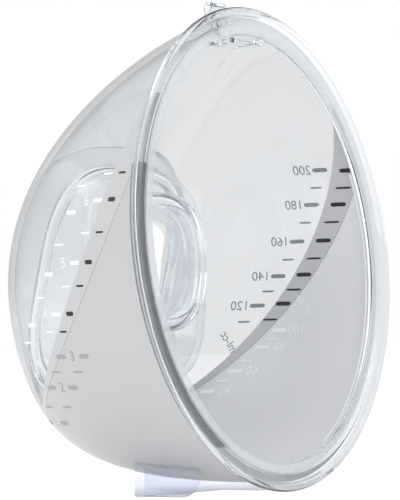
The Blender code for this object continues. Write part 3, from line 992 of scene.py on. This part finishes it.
def lettering(text, height):
    """Flat text, centred, as the mesh of Blender's own plain font."""

    def fill(bm):
        curve = bpy.data.curves.new("lettering", "FONT")
        curve.body = text
        curve.size = height / 0.72
        curve.align_x = "CENTER"
        curve.align_y = "CENTER"
        item = bpy.data.objects.new("lettering", curve)
        bpy.context.scene.collection.objects.link(item)
        bpy.context.view_layer.update()
        live = item.evaluated_get(bpy.context.evaluated_depsgraph_get())
        mesh = bpy.data.meshes.new_from_object(live)
        bm.from_mesh(mesh)
        bmesh.ops.remove_doubles(bm, verts=bm.verts, dist=MERGE_DISTANCE)
        remove(item)
        bpy.data.meshes.remove(mesh)
        bpy.data.curves.remove(curve)

    return fill


class CONTAINER_OT_scales(bpy.types.Operator):
    """Print the level scales on both flanks"""

    bl_idname = "container.scales"
    bl_label = "Level scales"

    def execute(self, context):
        sizes, colours = context.scene.container_sizes, context.scene.container_colours
        black = pad_ink("pad_ink_black", tuple(colours.black_ink))
        grey = pad_ink("pad_ink_grey", tuple(colours.grey_ink))
        white = pad_ink("pad_ink_white", tuple(colours.white_ink))
        through = sizes.wall + 3 * sizes.ink
        long, heavy = sizes.tick_length, sizes.tick_weight
        light = heavy * LIGHT_TICK

        def mark(name, shape, side, height, ahead, material, depth=0.0, turn=0.0):
            """Mark at a height, ahead of the seam band's middle line; all in millimetres."""
            z = height * 0.001
            printed(name, shape, side, (band_y(z) - ahead * 0.001, z), material, sizes.ink, depth, turn)

        for side, scale in ((-1, MILLILITRE_SCALE), (1, OUNCE_SCALE)):
            for height, text, upper in scale:
                tag = f"{'ml' if side < 0 else 'oz'}_{text or 'between'}_{height:.0f}".replace("-", "m")
                weight = heavy if text else light
                depth = 0.0 if upper else through
                below = 0 if upper else 1
                if side < 0:
                    ink = grey if upper else white
                    tick = bar(long * (1 if text else SHORT_TICK), weight)
                    mark(f"tick_{tag}", tick, side, height, MILLILITRE_TICK[below], ink, depth)
                    spot = MILLILITRE_NUMBER[below]
                else:
                    ink = white if upper else grey
                    near, far = OUNCE_TICKS[below]
                    tick = bar(long * SHORT_TICK, weight)
                    mark(f"tick_{tag}_a", tick, side, height, near, ink, depth)
                    mark(f"tick_{tag}_b", tick, side, height - OUNCE_FAR_DROP[below], far, ink, depth)
                    spot = OUNCE_NUMBER[below]
                if upper:
                    tick = bar(long * (1 if side < 0 else BAND_OUNCE_TICK), weight)
                    mark(f"band_tick_{tag}", tick, side, height, 0, black, through)
                if text:
                    number = lettering(text, sizes.number_height)
                    mark(f"number_{tag}", number, side, height, spot, ink, depth)
        small = sizes.number_height * 0.9
        mark("unit_ml_upper", lettering("ml-cc", small), -1, -28, 8.5, grey, 0.0, math.radians(52))
        mark("unit_ml_lower", lettering("ml-cc", small), -1, -17, -8, white, through, math.radians(62))
        mark("unit_oz_upper", lettering("fl oz", small), 1, -35, 7, white, 0.0, math.radians(-125))
        return {"FINISHED"}


class CONTAINER_OT_stage(bpy.types.Operator):
    """Set the floor, the lights, the room and the camera"""

    bl_idname = "container.stage"
    bl_label = "Stage"

    def execute(self, context):
        scene = context.scene
        azimuth = math.radians(CAMERA_AZIMUTH)
        look = Vector((math.sin(azimuth), -math.cos(azimuth), 0))
        make_floor()
        make_room(scene, look)
        make_lights(look)
        make_camera(scene)
        scene.view_settings.view_transform = "Standard"
        scene.cycles.use_denoising = True
        scene.cycles.max_bounces = 24
        scene.cycles.transmission_bounces = 20
        scene.cycles.transparent_max_bounces = 40
        scene.cycles.caustics_reflective = False
        return {"FINISHED"}


def make_floor():
    """Plain white floor, lit to the same white as the room behind it."""

    def fill(bm):
        bmesh.ops.create_circle(bm, cap_ends=True, segments=96, radius=12)

    floor = new_piece("stage_floor", fill)
    made, tree = new_material("white_paper_floor")
    matt = add_node(tree, "ShaderNodeBsdfDiffuse", {"Color": (0.8, 0.8, 0.8, 1)})
    level = blend_level(tree, seen_directly(tree), 0.30, 0.80)
    glow = add_node(tree, "ShaderNodeEmission", {"Color": (1, 1, 1, 1), "Strength": level})
    both = add_node(tree, "ShaderNodeAddShader", {0: matt.outputs[0], 1: glow.outputs[0]})
    show(tree, both)
    floor.data.materials.append(made)


def make_room(scene, look):
    """White to the eye. Through and in the plastic the room is a light grey studio, which is dimmer
    behind the camera."""
    world = bpy.data.worlds.new("studio_room")
    world.use_nodes = True
    tree = world.node_tree
    tree.nodes.clear()
    place = add_node(tree, "ShaderNodeTexCoord")
    facing = add_node(tree, "ShaderNodeVectorMath", {
        0: place.outputs["Generated"], 1: tuple(look),
    }, operation="DOT_PRODUCT")
    dim = add_node(tree, "ShaderNodeMapRange", {
        "Value": facing.outputs["Value"], "From Min": 0.1, "From Max": 0.9, "To Min": 0.85, "To Max": 0.62,
    }, interpolation_type="SMOOTHSTEP")
    level = blend_level(tree, seen_directly(tree), dim.outputs["Result"], 1.0)
    sky = add_node(tree, "ShaderNodeBackground", {"Color": (1, 1, 1, 1), "Strength": level})
    add_node(tree, "ShaderNodeOutputWorld", {"Surface": sky.outputs[0]})
    scene.world = world


def add_softbox(name, place, target, width, height, power):
    light = bpy.data.lights.new(name, "AREA")
    light.shape = "RECTANGLE"
    light.size = width
    light.size_y = height
    light.energy = power
    lamp = bpy.data.objects.new(name, light)
    bpy.context.scene.collection.objects.link(lamp)
    lamp.location = place
    lamp.rotation_euler = (Vector(target) - Vector(place)).to_track_quat("-Z", "Y").to_euler()
    lamp.visible_camera = False


def make_lights(look):
    """Soft lights: how far to the right, towards the camera and up, then width, height and watts."""
    right = Vector((0, 0, 1)).cross(look)
    up = Vector((0, 0, 1))
    for name, across, ahead, above, width, height, power in (
        ("softbox_left", -0.9, 0.2, 0.5, 0.5, 0.9, 2.5),
        ("softbox_top", 0.0, 0.0, 1.0, 0.8, 0.8, 3.0),
        ("softbox_right", 0.9, 0.5, 0.2, 0.25, 0.9, 1.2),
    ):
        place = CENTRE + right * across + look * ahead + up * above
        add_softbox(name, place, CENTRE, width, height, power)


def make_camera(scene):
    """Long lens a little below the rim's middle, turned so that the container sits left of centre."""
    azimuth, elevation, roll = (
        math.radians(angle) for angle in (CAMERA_AZIMUTH, CAMERA_ELEVATION, CAMERA_ROLL)
    )
    aim_left, aim_up = math.radians(CAMERA_AIM_LEFT), math.radians(CAMERA_AIM_UP)
    back = Vector((
        math.sin(azimuth) * math.cos(elevation),
        -math.cos(azimuth) * math.cos(elevation),
        math.sin(elevation),
    ))
    level_right = Vector((math.cos(azimuth), math.sin(azimuth), 0))
    level_up = back.cross(level_right)
    right = level_right * math.cos(roll) + level_up * math.sin(roll)
    up = level_up * math.cos(roll) - level_right * math.sin(roll)
    turn = Matrix((right, up, back)).transposed()
    aim = Matrix.Rotation(aim_left, 3, "Y") @ Matrix.Rotation(-aim_up, 3, "X")
    data = bpy.data.cameras.new("camera")
    data.lens = CAMERA_LENS
    data.sensor_width = 36
    data.clip_start, data.clip_end = 0.05, 50
    camera = bpy.data.objects.new("camera", data)
    scene.collection.objects.link(camera)
    camera.matrix_world = Matrix.Translation(CENTRE + back * CAMERA_DISTANCE) @ (turn @ aim).to_4x4()
    scene.camera = camera


class CONTAINER_PT_panel(bpy.types.Panel):
    """Buttons and settings of the container"""

    bl_idname = "CONTAINER_PT_panel"
    bl_label = "Milk container"
    bl_space_type = "VIEW_3D"
    bl_region_type = "UI"
    bl_category = "Container"

    def draw(self, context):
        for made in STEPS:
            self.layout.operator(made.bl_idname)
        for group in (context.scene.container_sizes, context.scene.container_colours):
            for name in group.__annotations__:
                self.layout.prop(group, name)


STEPS = (
    CONTAINER_OT_shells,
    CONTAINER_OT_rim,
    CONTAINER_OT_bay,
    CONTAINER_OT_port,
    CONTAINER_OT_foot,
    CONTAINER_OT_latch,
    CONTAINER_OT_scales,
    CONTAINER_OT_stage,
)
CLASSES = (ContainerSizes, ContainerColours, *STEPS, CONTAINER_PT_panel)


def register():
    for made in CLASSES:
        bpy.utils.register_class(made)
    bpy.types.Scene.container_sizes = PointerProperty(type=ContainerSizes)
    bpy.types.Scene.container_colours = PointerProperty(type=ContainerColours)


def unregister():
    del bpy.types.Scene.container_colours
    del bpy.types.Scene.container_sizes
    for made in reversed(CLASSES):
        bpy.utils.unregister_class(made)


def main():
    register()
    bpy.ops.container.shells()
    bpy.ops.container.rim()
    bpy.ops.container.bay()
    bpy.ops.container.port()
    bpy.ops.container.foot()
    bpy.ops.container.latch()
    bpy.ops.container.scales()
    bpy.ops.container.stage()


if __name__ == "__main__":
    main()
